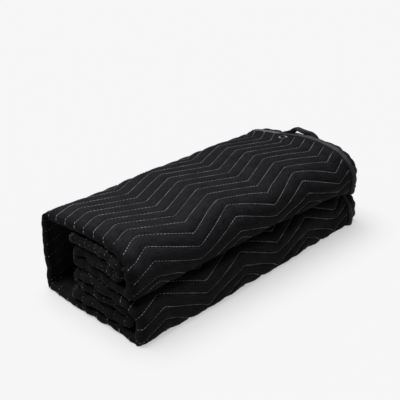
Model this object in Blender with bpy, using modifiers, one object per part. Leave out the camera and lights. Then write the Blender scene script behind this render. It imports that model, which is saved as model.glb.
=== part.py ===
# Folded sound dampening blanket: a padded, zigzag-quilted blanket of 80 by 96 inches,
# folded in quarters along its long side and in eight passes across it.
# Metres, +Z up. X runs along the package, the folded noses face -Y and the spine faces +Y.
import math
from collections import namedtuple

import bpy
import bmesh
from mathutils import Vector

# Driving sizes
INCH = 0.0254
LENGTH = 96 * INCH / 4          # the long side, folded in quarters
DEPTH = 80 * INCH / 8           # the short side, folded in eight passes
GAP = 0.0022                    # air between two passes
SEAT_GAP = 0.0003               # clearance between sewn pieces
SPINE_THICKNESS = 0.0135        # the padded wall that joins top and bottom pass
STACK_DEPTH = 0.173             # how far back the folded-in stack reaches
FREE_END_SET_BACK = 0.004       # the cloth's free ends stop this far short of it
MEAN_HEIGHT = 0.16
CROWN = 0.033                   # how much higher the middle is than the edges, as a share
CROWN_POWER = 2.4
SHOULDER_REACH = 0.120          # how far back the top slopes down to the upper nose
CORNER_SIZE = 0.032             # the pressed corner where the lower nose meets the floor
CORNER_PRESS = 0.057

# The near end of each pass is the round fold of its plies
END_ROUND_OUTER = 0.008
END_ROUND_INNER = 0.007
END_TIP = -0.06                 # its outermost point, as a share of the thickness
TOP_SET_IN = 0.0069             # the top pass stops a little short of the others
TOP_SET_IN_REACH = 0.05
END_BULGE = 0.0030              # the spine's near end stands out a little at half height
END_BULGE_REACH = 0.08
FOOT = 0.0090                   # the near end spreads on the floor
FOOT_HEIGHT = 0.045
FOOT_REACH = 0.035

# The far end shows the edges of the four plies
PLY_NOTCH = 0.007               # depth of the notches between the plies
PLY_TIP = 0.001                 # how far the plies' tips stay behind the end of the package
PLIES = ((-0.27, -0.14), (-0.02, 0.12))    # levels of notch and tip, as shares of the thickness
FACE_END = 0.004                # the outer faces end this far short of the tips
LEDGE = 0.016                   # how far the lower plies pass the bound edge
FAR_SKEW = 0.0273               # how far the far edge draws in at the back
FAR_SKEW_DEPTH = 0.11           # where that begins, from the front
FAR_SKEW_FROM = 0.80            # and from where along the package
FAR_REACH = 0.0090              # how much further the lower plies reach on the noses
FAR_REACH_DEPTH = 0.105         # up to this depth from the front
FAR_REACH_FADE = 0.050

# Bound edge, eyelet and loop
BINDING_WIDTH = 0.012
BINDING_THICKNESS = 0.0065      # it stands up as a ridge
BAND_WIDTH = 0.033
BAND_THICKNESS = 0.0028
RECESS = 0.0032                 # how deep both are let into the cloth
RECESS_STEP = 0.0002            # width of its wall
BOUND_EDGE = LENGTH - LEDGE
BINDING_FROM = BOUND_EDGE - BINDING_WIDTH
BAND_FROM = BINDING_FROM - SEAT_GAP - BAND_WIDTH
EYELET_FROM_EDGE = 0.029
EYELET_DEPTH = 0.159            # measured back from the front face
EYELET_SIDES = 32
EYELET_HOLE = 0.0052            # radii
EYELET_BARREL = 0.0064
EYELET_RIM = 0.0098
EYELET_RISE = 0.0018
LOOP_WIDTH = 0.011
LOOP_THICKNESS = 0.0021

# Quilting: zigzag rows that run along X
ROW_SPACING = 0.0402 * LENGTH
ZIGZAG_PERIOD = 0.3156 * LENGTH
ZIGZAG_REACH = 0.0643 * LENGTH
NOSE_REACH = 0.0510 * LENGTH    # the zigzag is flatter where the cloth is bent over a nose
FIRST_CORNER = 0.0856 * LENGTH  # a corner that points to the back
ROW_ORIGIN = 0.0390 * LENGTH    # the front-most row on the top pass, from the front face
LOWER_ROW_SPACING = 0.0233
LOWER_ROW_ORIGIN = 0.0015       # the lowest half row over the lower nose's bottom corner
LOWER_HALF_ROWS = 8
FADE_FROM = 0.004               # on the lower nose the zigzag fades out towards the floor
FADE_REACH = 0.040
FIRST_ROW, LAST_ROW = -7, 13    # counted from the middle of the top pass, towards the front
SPINE_FADE_ROWS = 3             # rows over which the zigzag grows from the floor up the spine
NOSE_ROW = 3.5                  # rows from which it flattens towards the upper nose
NOSE_FADE_ROWS = 3.5
STRIP_END_ROWS = 1.5            # the strips end this many rows before the last one
PUFF = 0.0021                   # how far the padding stands up between two rows of stitches

# Heights, noses and the slope to the upper nose along the package. Each row is one place along X.
Station = namedtuple("Station", "along height crease lower_nose upper_nose upper_round shoulder")
STATIONS = (
    Station(0.00, 0.1532, 0.0719, -0.0026, 0.0147, 0.0343, 0.0266),
    Station(0.25, 0.1508, 0.0803, -0.0060, 0.0081, 0.0419, 0.0062),
    Station(0.55, 0.1553, 0.0881, -0.0060, 0.0015, 0.0278, 0.0112),
    Station(0.85, 0.1588, 0.0916, -0.0060, -0.0088, 0.0333, 0.0161),
    Station(1.00, 0.1606, 0.0635, -0.0047, -0.0038, 0.0349, 0.0127),
)

# The cloth's gentle unevenness, as waves: size in metres, then turns for each metre and a phase
Wave = namedtuple("Wave", "size along depth height phase")
HEIGHT_WAVES = (
    Wave(0.0008, 11, -17, 0, 3.07), Wave(0.0008, 11, 17, 0, 1.13), Wave(0.0011, 29, 9, 0, 0.0),
)
END_WAVES = (Wave(0.0020, 0, 29, 33, 0.0), Wave(0.0012, 0, 0, 61, 1.3))
DEPTH_WAVES = (Wave(0.0008, 13, 0, 25, 0.0), Wave(0.0006, 31, 0, -40, 0.0))
FLOOR_SNAP = 0.0008             # what lies this low lies flat

# Folds across the package, in the order in which the cloth runs. Passes count from the bottom.
# The first radius is at the first pass, the second at the second. No radii rounds the whole fold,
# and the upper nose takes its first radius from the stations.
FULL_ROUND = 0.49               # radius of a wholly round fold, as a share of its height
NESTED_WRAP = 1.5               # a nested nose starts behind one and a half passes and the air
NESTED_AIR = 1.6
NESTED_SHIFT = 0.45             # how much it draws back where the nose around it is rounder
NESTED_ROUND = 0.028
Fold = namedtuple("Fold", "name place passes radii")
FOLDS = (
    Fold("inner lower nose", "nested_lower", (1, 2), None),
    Fold("lower stack back", "stack", (2, 3), None),
    Fold("lower nose", "lower", (3, 0), (0.0317, 0.0102)),
    Fold("spine", "spine", (0, 7), (0.0085, 0.009)),
    Fold("upper nose", "upper", (7, 4), (None, 0.0075)),
    Fold("upper stack back", "stack", (4, 5), None),
    Fold("inner upper nose", "nested_upper", (5, 6), None),
)

# The hanging loop, as depth from the front face and height of its underside over its seat
LoopPoint = namedtuple("LoopPoint", "depth rise")
LOOP_POINTS = (
    LoopPoint(0.184, 0.0), LoopPoint(0.176, 0.0), LoopPoint(0.169, 0.0025),
    LoopPoint(0.162, 0.0070), LoopPoint(0.155, 0.0122), LoopPoint(0.148, 0.0144),
    LoopPoint(0.134, 0.0136), LoopPoint(0.122, 0.0130), LoopPoint(0.113, 0.0122),
    LoopPoint(0.105, 0.0080), LoopPoint(0.099, 0.0028), LoopPoint(0.094, 0.0),
    LoopPoint(0.086, 0.0),
)


def mix(a, b, t):
    return a + (b - a) * t


def smooth(t):
    t = min(max(t, 0.0), 1.0)
    return t * t * (3 - 2 * t)


def station_at(x):
    """The table's values at a place along X, eased between its rows."""
    along = min(max(x / LENGTH, 0.0), 1.0)
    for low, high in zip(STATIONS, STATIONS[1:]):
        if along <= high.along:
            t = (along - low.along) / (high.along - low.along)
            return Station(*(mix(a, b, t) for a, b in zip(low, high)))
    return STATIONS[-1]


def zigzag(x):
    """How far a row lies from its mean line, as a share of its reach, at a place along X."""
    phase = ((x - FIRST_CORNER) / ZIGZAG_PERIOD) % 1.0
    return 0.5 - abs(2 * phase - 1)


def pitch_at(number, place, depth):
    """Height that one pass takes up, with its air."""
    at_nose = (place.crease if number < 4 else place.height - place.crease) / 4 + GAP / 4
    at_back = (place.height + GAP) / 8
    return mix(at_nose, at_back, smooth(depth / STACK_DEPTH))


def level_at(number, place, depth):
    """Middle height of a pass."""
    half = place.crease if number < 4 else place.height - place.crease + GAP
    base = -GAP / 2 if number < 4 else place.crease - GAP / 2
    at_nose = base + half * (number % 4 + 0.5) / 4
    at_back = -GAP / 2 + (place.height + GAP) * (number + 0.5) / 8
    return mix(at_nose, at_back, smooth(depth / STACK_DEPTH))


class Section:
    """The cloth's middle line across the package at one place along X, as lines and arcs."""

    def __init__(self, x):
        self.place = station_at(x)
        corners = self.corners()
        self.parts = []
        self.length = 0.0
        self.marks = [0.0]
        start = corners[0]
        for before, corner, after in zip(corners, corners[1:], corners[2:]):
            arc_from, arc_to, centre, radius = self.round(before, corner, after)
            self.add_line(start, arc_from)
            self.add_arc(arc_from, arc_to, centre, radius)
            start = arc_to
        self.add_line(start, corners[-1])
        self.anchor = self.find_anchor()

    def corners(self):
        """Corner points as (depth, height, thickness, radius), free end to free end."""
        place = self.place
        points = [self.point(STACK_DEPTH - FREE_END_SET_BACK, 1, None)]
        for fold in FOLDS:
            first, second = fold.passes
            if fold.place == "spine":
                depth = DEPTH - SPINE_THICKNESS / 2
            elif fold.place == "stack":
                depth = STACK_DEPTH - pitch_at(first, place, STACK_DEPTH) / 2
            else:
                nose = place.lower_nose if "lower" in fold.place else place.upper_nose
                wrap = pitch_at(first, place, 0.0) - GAP
                depth = nose + wrap / 2
                if "nested" in fold.place:
                    depth = nose + wrap * NESTED_WRAP + GAP * NESTED_AIR
                if fold.place == "nested_upper":
                    depth += NESTED_SHIFT * max(place.upper_round - NESTED_ROUND, 0.0)
            radii = fold.radii or (None, None)
            if fold.place == "upper":
                radii = (place.upper_round, radii[1])
            pair = [self.point(depth, first, radii[0]), self.point(depth, second, radii[1])]
            if fold.radii is None:
                radius = FULL_ROUND * abs(pair[1][1] - pair[0][1])
                pair = [corner[:3] + (radius,) for corner in pair]
            if fold.place == "spine":
                pair[0] = (depth, SPINE_THICKNESS / 2, SPINE_THICKNESS, radii[0])
                pair[1] = (depth, place.height - SPINE_THICKNESS / 2, SPINE_THICKNESS, radii[1])
            points += pair
        points.append(self.point(STACK_DEPTH - FREE_END_SET_BACK, 6, None))
        return points

    def point(self, depth, number, radius):
        thickness = pitch_at(number, self.place, depth) - GAP
        return (depth, level_at(number, self.place, depth), thickness, radius)

    def round(self, before, corner, after):
        """Where the arc at a corner starts and ends, its centre and radius."""
        here = Vector(corner[:2])
        back = (Vector(before[:2]) - here).normalized()
        ahead = (Vector(after[:2]) - here).normalized()
        half = back.angle(ahead) / 2
        reach = corner[3] / math.tan(half)
        arc_from = here + back * reach
        arc_to = here + ahead * reach
        centre = here + (back + ahead).normalized() * (corner[3] / math.sin(half))
        thickness = corner[2]
        return (*arc_from, thickness), (*arc_to, thickness), centre, corner[3]

    def add_line(self, start, end):
        span = (Vector(end[:2]) - Vector(start[:2])).length
        self.parts.append(("line", self.length, span, start, end))
        self.length += span
        self.marks.append(self.length)

    def add_arc(self, start, end, centre, radius):
        a = Vector(start[:2]) - centre
        b = Vector(end[:2]) - centre
        turn = math.atan2(a.x * b.y - a.y * b.x, a.dot(b))
        span = abs(turn) * radius
        self.parts.append(("arc", self.length, span, start, end, centre, turn))
        self.length += span
        self.marks.append(self.length)

    def find_anchor(self):
        """Path length at the middle of the top pass, from which the rows are counted."""
        top = self.parts[TOP_LINE]
        start, end = top[3], top[4]
        return top[1] + top[2] * (start[0] - DEPTH / 2) / (start[0] - end[0])

    def at(self, run):
        """Point, outward direction and thickness at a path length."""
        part = self.parts[-1]
        for candidate in self.parts:
            if run <= candidate[1] + candidate[2]:
                part = candidate
                break
        t = min(max((run - part[1]) / part[2], 0.0), 1.0)
        thickness = mix(part[3][2], part[4][2], t)
        if part[0] == "line":
            start, end = Vector(part[3][:2]), Vector(part[4][:2])
            along = (end - start).normalized()
            return start.lerp(end, t), Vector((along.y, -along.x)), thickness
        centre, turn = part[5], part[6]
        spoke = Vector(part[3][:2]) - centre
        angle = turn * t
        spoke = Vector((spoke.x * math.cos(angle) - spoke.y * math.sin(angle),
                        spoke.x * math.sin(angle) + spoke.y * math.cos(angle)))
        outward = spoke.normalized()
        if turn < 0:
            outward = -outward
        return centre + spoke, outward, thickness


# How many lines follow the cloth through the folded-in stack
FOLD_STEPS = 8
FLAT_STEPS = 3
BOTTOM_STEPS = 8
ARC_STEPS = 4
LOWER_PASS_END = 0.36           # share of the lower pass before its rows begin
UPPER_PASS_START = 0.66

# Index of a part of the path: even numbers are straight, odd numbers are arcs
LOWER_PASS, LOWER_CORNER, BOTTOM_LINE, SPINE_LINE, TOP_LINE, UPPER_PASS = 8, 11, 12, 14, 16, 20

SECTIONS = {}


def section(x):
    """Sections are worked out once for each place along X."""
    key = round(x, 6)
    if key not in SECTIONS:
        SECTIONS[key] = Section(x)
    return SECTIONS[key]


def ripple(waves, x, depth, height):
    """Sum of the waves at a place."""
    return sum(wave.size * math.sin(wave.along * x + wave.depth * depth + wave.height * height + wave.phase)
               for wave in waves)


def settle(x, depth, height):
    """Crown, slopes, skewed far edge and the cloth's gentle unevenness, the same for every piece."""
    across = 2 * depth / DEPTH - 1
    height *= 1 + CROWN * (1 - min(abs(across), 1.0) ** CROWN_POWER)
    share = height / MEAN_HEIGHT
    slope = max(1 - depth / SHOULDER_REACH, 0.0) ** 2
    height -= station_at(x).shoulder * slope * share ** 2
    press = CORNER_PRESS * max(1 - depth / CORNER_SIZE, 0.0) * max(1 - height / CORNER_SIZE, 0.0)
    depth -= press * CORNER_SIZE
    height -= press * CORNER_SIZE
    height += share * ripple(HEIGHT_WAVES, x, depth, 0.0)
    back = max(depth - FAR_SKEW_DEPTH, 0.0) / (DEPTH - FAR_SKEW_DEPTH)
    far = smooth((x / LENGTH - FAR_SKEW_FROM) / (1 - FAR_SKEW_FROM))
    ends = abs(2 * x / LENGTH - 1) ** 3
    near = smooth(1 - x / END_BULGE_REACH) * max(depth / DEPTH, 0.0) ** 2
    x += ends * ripple(END_WAVES, 0.0, depth, height) - FAR_SKEW * far * back ** 1.5
    x -= END_BULGE * near * math.sin(math.pi * min(height / MEAN_HEIGHT, 1.0))
    x -= FOOT * smooth(1 - x / FOOT_REACH) * max(1 - height / FOOT_HEIGHT, 0.0)
    depth += ripple(DEPTH_WAVES, x, 0.0, height)
    if height < FLOOR_SNAP:
        height = 0.0
    return Vector((x - LENGTH / 2, depth - DEPTH / 2, height))


def far_reach(x, depth):
    """How far the lower plies stand out beyond the end of the package on its noses."""
    beyond = smooth((x - BOUND_EDGE) / LEDGE)
    return FAR_REACH * beyond * smooth((FAR_REACH_DEPTH - depth) / FAR_REACH_FADE)


def row_lines():
    """Lines along X as (function of a section, reach of the zigzag, puff, on the outside)."""
    lines = []

    def between(first, last, count, include_end=False, outside=False):
        steps = count + 1 if include_end else count
        for step in range(steps):
            share = step / count

            def run(cut, a=first, b=last, t=share):
                return mix(a(cut), b(cut), t)
            lines.append((run, 0.0, 0.0, outside))

    def mark(number):
        return lambda cut: cut.marks[number + 1]

    def inside(part, share):
        return lambda cut: cut.parts[part][1] + share * cut.parts[part][2]

    # The lower stack, free end first
    between(lambda cut: 0.0, mark(0), FLAT_STEPS)
    between(mark(0), mark(3), FOLD_STEPS)
    between(mark(3), mark(4), FLAT_STEPS)
    between(mark(4), mark(7), FOLD_STEPS)
    between(mark(7), inside(LOWER_PASS, LOWER_PASS_END), 1, True)
    # The lower nose, where the rows begin to run straight towards the floor
    for step in range(LOWER_HALF_ROWS):
        down = (LOWER_HALF_ROWS - 1 - step) * LOWER_ROW_SPACING / 2 + LOWER_ROW_ORIGIN
        lines.append((lambda cut, d=down: cut.marks[LOWER_CORNER] - d,
                      NOSE_REACH * smooth((down - FADE_FROM) / FADE_REACH),
                      PUFF * (1 - step % 2), step > 1))
    between(mark(LOWER_CORNER - 1), mark(LOWER_CORNER), ARC_STEPS, False, True)
    between(mark(LOWER_CORNER), mark(BOTTOM_LINE), BOTTOM_STEPS, False, True)
    between(mark(BOTTOM_LINE), mark(BOTTOM_LINE + 1), ARC_STEPS, True, True)
    # Spine, top pass and upper nose, with the rows at their full zigzag
    offset = DEPTH / 2 - ROW_ORIGIN - 6 * ROW_SPACING - ZIGZAG_REACH / 2
    for step in range(2 * FIRST_ROW + 1, 2 * LAST_ROW):
        run = step * ROW_SPACING / 2 + offset
        reach = mix(ZIGZAG_REACH, NOSE_REACH, smooth((step / 2 - NOSE_ROW) / NOSE_FADE_ROWS))
        reach *= smooth((step / 2 - FIRST_ROW) / SPINE_FADE_ROWS)
        on_outside = step / 2 < LAST_ROW - STRIP_END_ROWS
        lines.append((lambda cut, r=run: cut.anchor + r, reach, PUFF * (step % 2), on_outside))
    # The upper stack, free end last
    between(inside(UPPER_PASS, UPPER_PASS_START), mark(UPPER_PASS), 1)
    between(mark(UPPER_PASS), mark(UPPER_PASS + 3), FOLD_STEPS)
    between(mark(UPPER_PASS + 3), mark(UPPER_PASS + 4), FLAT_STEPS)
    between(mark(UPPER_PASS + 4), mark(UPPER_PASS + 7), FOLD_STEPS)
    between(mark(UPPER_PASS + 7), lambda cut: cut.length, FLAT_STEPS, True)
    return lines


FAR_COLUMN = 0.072              # the last column of the quilting, from the far end


def corner_columns():
    """Places along X where the zigzag turns, with three more between."""
    columns = []
    x = FIRST_CORNER - ZIGZAG_PERIOD / 8
    while x < LENGTH - FAR_COLUMN:
        columns.append(x)
        x += ZIGZAG_PERIOD / 8
    return columns


def profile_columns():
    """One pass cut along X, as (x, share of thickness from the middle, sunk, raised)."""
    loop = []
    recess_from = BAND_FROM - SEAT_GAP
    loop.append((LENGTH - FACE_END, 0.5, RECESS, 0.0))
    for x in (BOUND_EDGE, BINDING_FROM, recess_from):
        loop.append((x, 0.5, RECESS, 0.0))
    loop.append((recess_from - RECESS_STEP, 0.5, 0.0, 0.6))
    for x in reversed(corner_columns()):
        loop.append((x, 0.5, 0.0, 1.0))
    loop.append((END_ROUND_OUTER, 0.5, 0.0, 0.7))
    for step in range(1, 4):
        angle = math.pi / 2 * step / 4
        loop.append((END_ROUND_OUTER * (1 - math.sin(angle)), 0.5 * math.cos(angle), 0.0, 0.0))
    loop.append((0.0, END_TIP, 0.0, 0.0))
    for step in range(2, 0, -1):
        angle = math.pi / 2 * step / 3
        level = END_TIP - (0.5 + END_TIP) * math.cos(angle)
        loop.append((END_ROUND_INNER * (1 - math.sin(angle)), level, 0.0, 0.0))
    for x in corner_columns()[1::4]:
        loop.append((x, -0.5, 0.0, 0.0))
    loop.append((LENGTH - FAR_COLUMN, -0.5, 0.0, 0.0))
    loop.append((LENGTH - FACE_END, -0.5, 0.0, 0.0))
    for notch, tip in PLIES:
        loop.append((LENGTH - PLY_NOTCH, notch, 0.0, 0.0))
        loop.append((LENGTH - PLY_TIP, tip, 0.0, 0.0))
    return loop


def blanket_mesh():
    """The padded cloth, one closed grid: its rows along X by the loop round one pass."""
    lines = row_lines()
    loop = profile_columns()
    mesh = bmesh.new()
    grid = []
    for run_of, reach, puff, _ in lines:
        ring = []
        for x, across, sunk, raised in loop:
            cut = section(x)
            point, outward, thickness = cut.at(run_of(cut) + reach * zigzag(x))
            lift = thickness * across - sunk + puff * raised
            if across > 0 and outward.y < -0.9:
                lift = thickness * across - sunk
            point = point + outward * lift
            set_in = 0.0
            if outward.y > 0.7 and point.y > 0.8 * cut.place.height:
                set_in = TOP_SET_IN * smooth(1 - x / TOP_SET_IN_REACH)
            along = x + set_in + far_reach(x, point.x)
            ring.append(mesh.verts.new(settle(along, point.x, point.y)))
        grid.append(ring)
    close_grid(mesh, grid)
    return mesh


def close_grid(mesh, grid):
    """Joins rings into one closed body. A sheared quad is split along the line nearer to X."""
    count = len(grid[0])
    for lower, upper in zip(grid, grid[1:]):
        for i in range(count):
            j = (i + 1) % count
            a, b, c, d = lower[i], lower[j], upper[j], upper[i]
            if off_axis(a, c) < off_axis(b, d):
                mesh.faces.new((a, b, c))
                mesh.faces.new((a, c, d))
            else:
                mesh.faces.new((a, b, d))
                mesh.faces.new((b, c, d))
    mesh.faces.new(list(reversed(grid[0])))
    mesh.faces.new(grid[-1])
    bmesh.ops.recalc_face_normals(mesh, faces=mesh.faces)


def off_axis(first, second):
    """How far a line strays from the X direction."""
    step = second.co - first.co
    return math.hypot(step.y, step.z) / max(step.length, 1e-9)


def finish(name, mesh, material, collection, smooth_angle=None):
    """Makes a bmesh a named object in the part's collection."""
    data = bpy.data.meshes.new(name)
    mesh.to_mesh(data)
    mesh.free()
    part = bpy.data.objects.new(name, data)
    data.materials.append(material)
    collection.objects.link(part)
    if smooth_angle:
        data.shade_smooth()
        data.set_sharp_from_angle(angle=math.radians(smooth_angle))
    return part


def strip_mesh(x_from, x_to, rise_bottom, rise_top):
    """A flat strip that follows the outer face of the package at the far end."""
    mesh = bmesh.new()
    grid = []
    profile = ((x_from, rise_bottom), (x_from, rise_top), (x_to, rise_top), (x_to, rise_bottom))
    for run_of, reach, _, outside in row_lines():
        if not outside:
            continue
        ring = []
        for x, rise in profile:
            cut = section(x)
            point, outward, thickness = cut.at(run_of(cut) + reach * zigzag(x))
            point = point + outward * (thickness / 2 + rise)
            ring.append(mesh.verts.new(settle(x, point.x, point.y)))
        grid.append(ring)
    close_grid(mesh, grid)
    return mesh


def on_top(x, depth, rise):
    """A point over the outer face of the top pass, at a place along X and a depth."""
    cut = section(x)
    point, outward, thickness = cut.at(cut.anchor + DEPTH / 2 - depth)
    point = point + outward * (thickness / 2 + rise)
    return settle(x, point.x, point.y)


def loop_mesh():
    """The webbing loop: a strap that stands up from the ledge behind the binding."""
    mesh = bmesh.new()
    x_from = BOUND_EDGE + 2 * SEAT_GAP
    sides = (x_from, x_from + LOOP_WIDTH)
    grid = []
    for place, point in enumerate(LOOP_POINTS):
        before = LOOP_POINTS[max(place - 1, 0)]
        after = LOOP_POINTS[min(place + 1, len(LOOP_POINTS) - 1)]
        along = Vector((after.depth - before.depth, after.rise - before.rise)).normalized()
        up = Vector((along.y, -along.x)) * LOOP_THICKNESS
        seat = SEAT_GAP - RECESS + point.rise
        grid.append([
            mesh.verts.new(on_top(sides[0], point.depth, seat)),
            mesh.verts.new(on_top(sides[1], point.depth, seat)),
            mesh.verts.new(on_top(sides[1], point.depth + up.x, seat + up.y)),
            mesh.verts.new(on_top(sides[0], point.depth + up.x, seat + up.y)),
        ])
    close_grid(mesh, grid)
    return mesh


def eyelet_frame():
    """Place and tilt of the eyelet on the band: its centre line stands on the cloth."""
    x = BOUND_EDGE - EYELET_FROM_EDGE
    rise = SEAT_GAP - RECESS + BAND_THICKNESS
    step = EYELET_RIM
    centre = on_top(x, EYELET_DEPTH, rise)
    along = on_top(x + step, EYELET_DEPTH, rise) - on_top(x - step, EYELET_DEPTH, rise)
    across = on_top(x, EYELET_DEPTH + step, rise) - on_top(x, EYELET_DEPTH - step, rise)
    upright = along.cross(across).normalized()
    return centre, upright.to_track_quat("Z", "Y")


def add_eyelet(collection, material):
    """A rolled metal ring with a short barrel, turned from its profile."""
    low = -BAND_THICKNESS + SEAT_GAP
    roll = EYELET_RISE
    profile = [
        (EYELET_HOLE, low), (EYELET_HOLE, 0.5 * roll), (EYELET_HOLE + 0.0008, 0.9 * roll),
        (EYELET_HOLE + 0.0019, roll), (EYELET_RIM - 0.0012, 0.8 * roll), (EYELET_RIM, 0.45 * roll),
        (EYELET_RIM - 0.0003, SEAT_GAP), (EYELET_BARREL, SEAT_GAP), (EYELET_BARREL, low),
    ]
    data = bpy.data.meshes.new("eyelet")
    edges = [(i, (i + 1) % len(profile)) for i in range(len(profile))]
    data.from_pydata([(radius, 0.0, height) for radius, height in profile], edges, [])
    eyelet = bpy.data.objects.new("eyelet", data)
    data.materials.append(material)
    collection.objects.link(eyelet)
    turn = eyelet.modifiers.new("turn", "SCREW")
    turn.axis = "Z"
    turn.steps = EYELET_SIDES
    turn.render_steps = EYELET_SIDES
    turn.use_merge_vertices = True
    turn.merge_threshold = 0.00005
    eyelet.rotation_mode = "QUATERNION"
    eyelet.location, eyelet.rotation_quaternion = eyelet_frame()
    return eyelet


def cut_eyelet_hole(band, cutters):
    """Takes the eyelet's hole out of the band."""
    mesh = bmesh.new()
    radius = EYELET_BARREL + SEAT_GAP
    bmesh.ops.create_cone(mesh, cap_ends=True, segments=EYELET_SIDES, radius1=radius,
                          radius2=radius, depth=6 * BAND_THICKNESS)
    data = bpy.data.meshes.new("eyelet_hole")
    mesh.to_mesh(data)
    mesh.free()
    cutter = bpy.data.objects.new("eyelet_hole", data)
    cutters.objects.link(cutter)
    cutter.rotation_mode = "QUATERNION"
    cutter.location, cutter.rotation_quaternion = eyelet_frame()
    cutter.hide_render = True
    cutter.display_type = "WIRE"
    hole = band.modifiers.new("eyelet hole", "BOOLEAN")
    hole.operation = "DIFFERENCE"
    hole.solver = "EXACT"
    hole.object = cutter


def centre_on_origin(parts, cutters):
    """Moves everything so that the package stands centred on the origin."""
    corners = [item.matrix_world @ Vector(corner) for item in parts.objects for corner in item.bound_box]
    for axis in (0, 1):
        low = min(corner[axis] for corner in corners)
        high = max(corner[axis] for corner in corners)
        for item in list(parts.objects) + list(cutters.objects):
            item.location[axis] -= (low + high) / 2


def clear_scene():
    for item in list(bpy.data.objects):
        bpy.data.objects.remove(item, do_unlink=True)


def make_material(name, colour, roughness, metallic=0.0):
    material = bpy.data.materials.new(name)
    material.use_nodes = True
    surface = material.node_tree.nodes["Principled BSDF"]
    surface.inputs["Base Color"].default_value = (*colour, 1.0)
    surface.inputs["Roughness"].default_value = roughness
    surface.inputs["Metallic"].default_value = metallic
    return material


def build():
    clear_scene()
    parts = bpy.data.collections.new("folded_sound_blanket")
    cutters = bpy.data.collections.new("cutters")
    for collection in (parts, cutters):
        bpy.context.scene.collection.children.link(collection)
    cloth = make_material("black quilted fabric", (0.012, 0.012, 0.013), 0.85)
    tape = make_material("black woven tape", (0.02, 0.02, 0.022), 0.7)
    finish("blanket", blanket_mesh(), cloth, parts, 35)
    floor = SEAT_GAP - RECESS
    band = strip_mesh(BAND_FROM, BINDING_FROM - SEAT_GAP, floor, floor + BAND_THICKNESS)
    cut_eyelet_hole(finish("eyelet_band", band, cloth, parts, 35), cutters)
    binding = strip_mesh(BINDING_FROM, BOUND_EDGE, floor, floor + BINDING_THICKNESS)
    finish("edge_binding", binding, tape, parts, 35)
    add_eyelet(parts, make_material("nickel-plated brass", (0.55, 0.55, 0.56), 0.3, 1.0))
    finish("hanging_loop", loop_mesh(), tape, parts, 35)
    bpy.context.view_layer.update()
    centre_on_origin(parts, cutters)


build()
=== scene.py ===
# Folded sound dampening blanket: black quilted cloth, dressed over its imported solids.
# Metres, +Z up. X runs along the package, the folded noses face -Y and the spine faces +Y.
import math
from collections import namedtuple

import bmesh
import bpy
from mathutils import Matrix, Vector, noise


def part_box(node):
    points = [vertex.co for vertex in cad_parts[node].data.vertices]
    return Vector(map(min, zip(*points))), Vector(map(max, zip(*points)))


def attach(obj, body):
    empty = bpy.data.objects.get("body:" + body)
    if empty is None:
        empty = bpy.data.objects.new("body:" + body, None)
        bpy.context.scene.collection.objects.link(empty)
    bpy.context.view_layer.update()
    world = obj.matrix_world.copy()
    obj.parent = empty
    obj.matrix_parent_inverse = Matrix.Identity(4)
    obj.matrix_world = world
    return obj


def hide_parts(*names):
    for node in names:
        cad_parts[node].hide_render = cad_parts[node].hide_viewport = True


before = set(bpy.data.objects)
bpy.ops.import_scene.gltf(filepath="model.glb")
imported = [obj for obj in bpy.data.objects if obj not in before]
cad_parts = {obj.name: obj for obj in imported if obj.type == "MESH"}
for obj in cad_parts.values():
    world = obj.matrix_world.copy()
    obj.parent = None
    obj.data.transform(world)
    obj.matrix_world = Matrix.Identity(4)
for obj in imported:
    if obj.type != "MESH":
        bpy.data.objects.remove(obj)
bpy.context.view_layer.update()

inch = 0.0254

# The package as it is folded
length = 96 * inch / 4              # the long side, folded in quarters
package = {
    "depth": 80 * inch / 8,         # the short side, folded in eight passes
    "height": 0.16,                 # about; the stations below give it place by place
    "air": 0.0022,                  # between two passes
    "spineWall": 0.0135,
    "stackDepth": 0.173,            # how far back the folded-in stack reaches
    "crown": 0.0331,
    "crownPower": 2.4,              # how flat the crown is in its middle
    "topSetIn": 0.0069,             # the top pass stops a little short at the near end
    "topSetInReach": 0.05,
    "ledge": 0.016,                 # the lower plies pass the bound edge by this much
    "farSkew": 0.0273,              # how far the far edge draws in at the back
    "skewFrom": 0.11,               # from this depth on
    "skewRun": 0.20 * length,
    "shoulderReach": 0.120,         # how far back the top slopes down to the upper nose
    "corner": 0.032,                # size of the pressed corner where the lower nose meets the floor
    "press": 0.125,
    "endBulge": 0.0030,             # the spine's near end stands out a little at half height
    "bulgeHeight": 0.15,
    "bulgeReach": 0.08,
    "foot": 0.0090,                 # the near end spreads on the floor
    "footHeight": 0.045,
    "nearReach": 0.035,             # how far in the near end spreads and is creased
    "crumple": 0.0024,              # the near ends of the passes are creased unevenly
    "onFloor": 0.0008,              # what is lower than this lies on the floor
}
depthOfPackage = package["depth"]
boundEdge = length - package["ledge"]

Station = namedtuple("Station", "along height crease lowerNose upperNose upperRound shoulder")
stations = (
    Station(0.00, 0.1532, 0.0719, -0.0026, 0.0147, 0.0343, 0.0266),
    Station(0.25, 0.1508, 0.0803, -0.0060, 0.0081, 0.0419, 0.0062),
    Station(0.55, 0.1553, 0.0881, -0.0060, 0.0015, 0.0278, 0.0112),
    Station(0.85, 0.1588, 0.0916, -0.0060, -0.0088, 0.0333, 0.0161),
    Station(1.00, 0.1606, 0.0635, -0.0047, -0.0038, 0.0349, 0.0127),
)

# Folds in the order in which the cloth runs. Passes count from the bottom.
Fold = namedtuple("Fold", "place passes radii")
folds = (
    Fold("nestedLower", (1, 2), None),
    Fold("stack", (2, 3), None),
    Fold("lower", (3, 0), (0.0317, 0.0102)),
    Fold("spine", (0, 7), (0.0085, 0.009)),
    Fold("upper", (7, 4), (None, 0.0075)),
    Fold("stack", (4, 5), None),
    Fold("nestedUpper", (5, 6), None),
)
bottomLine, topLine = 12, 16    # parts of the fold line


def mix(a, b, t):
    return a + (b - a) * t


def smooth(t):
    t = min(max(t, 0.0), 1.0)
    return t * t * (3 - 2 * t)


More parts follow.
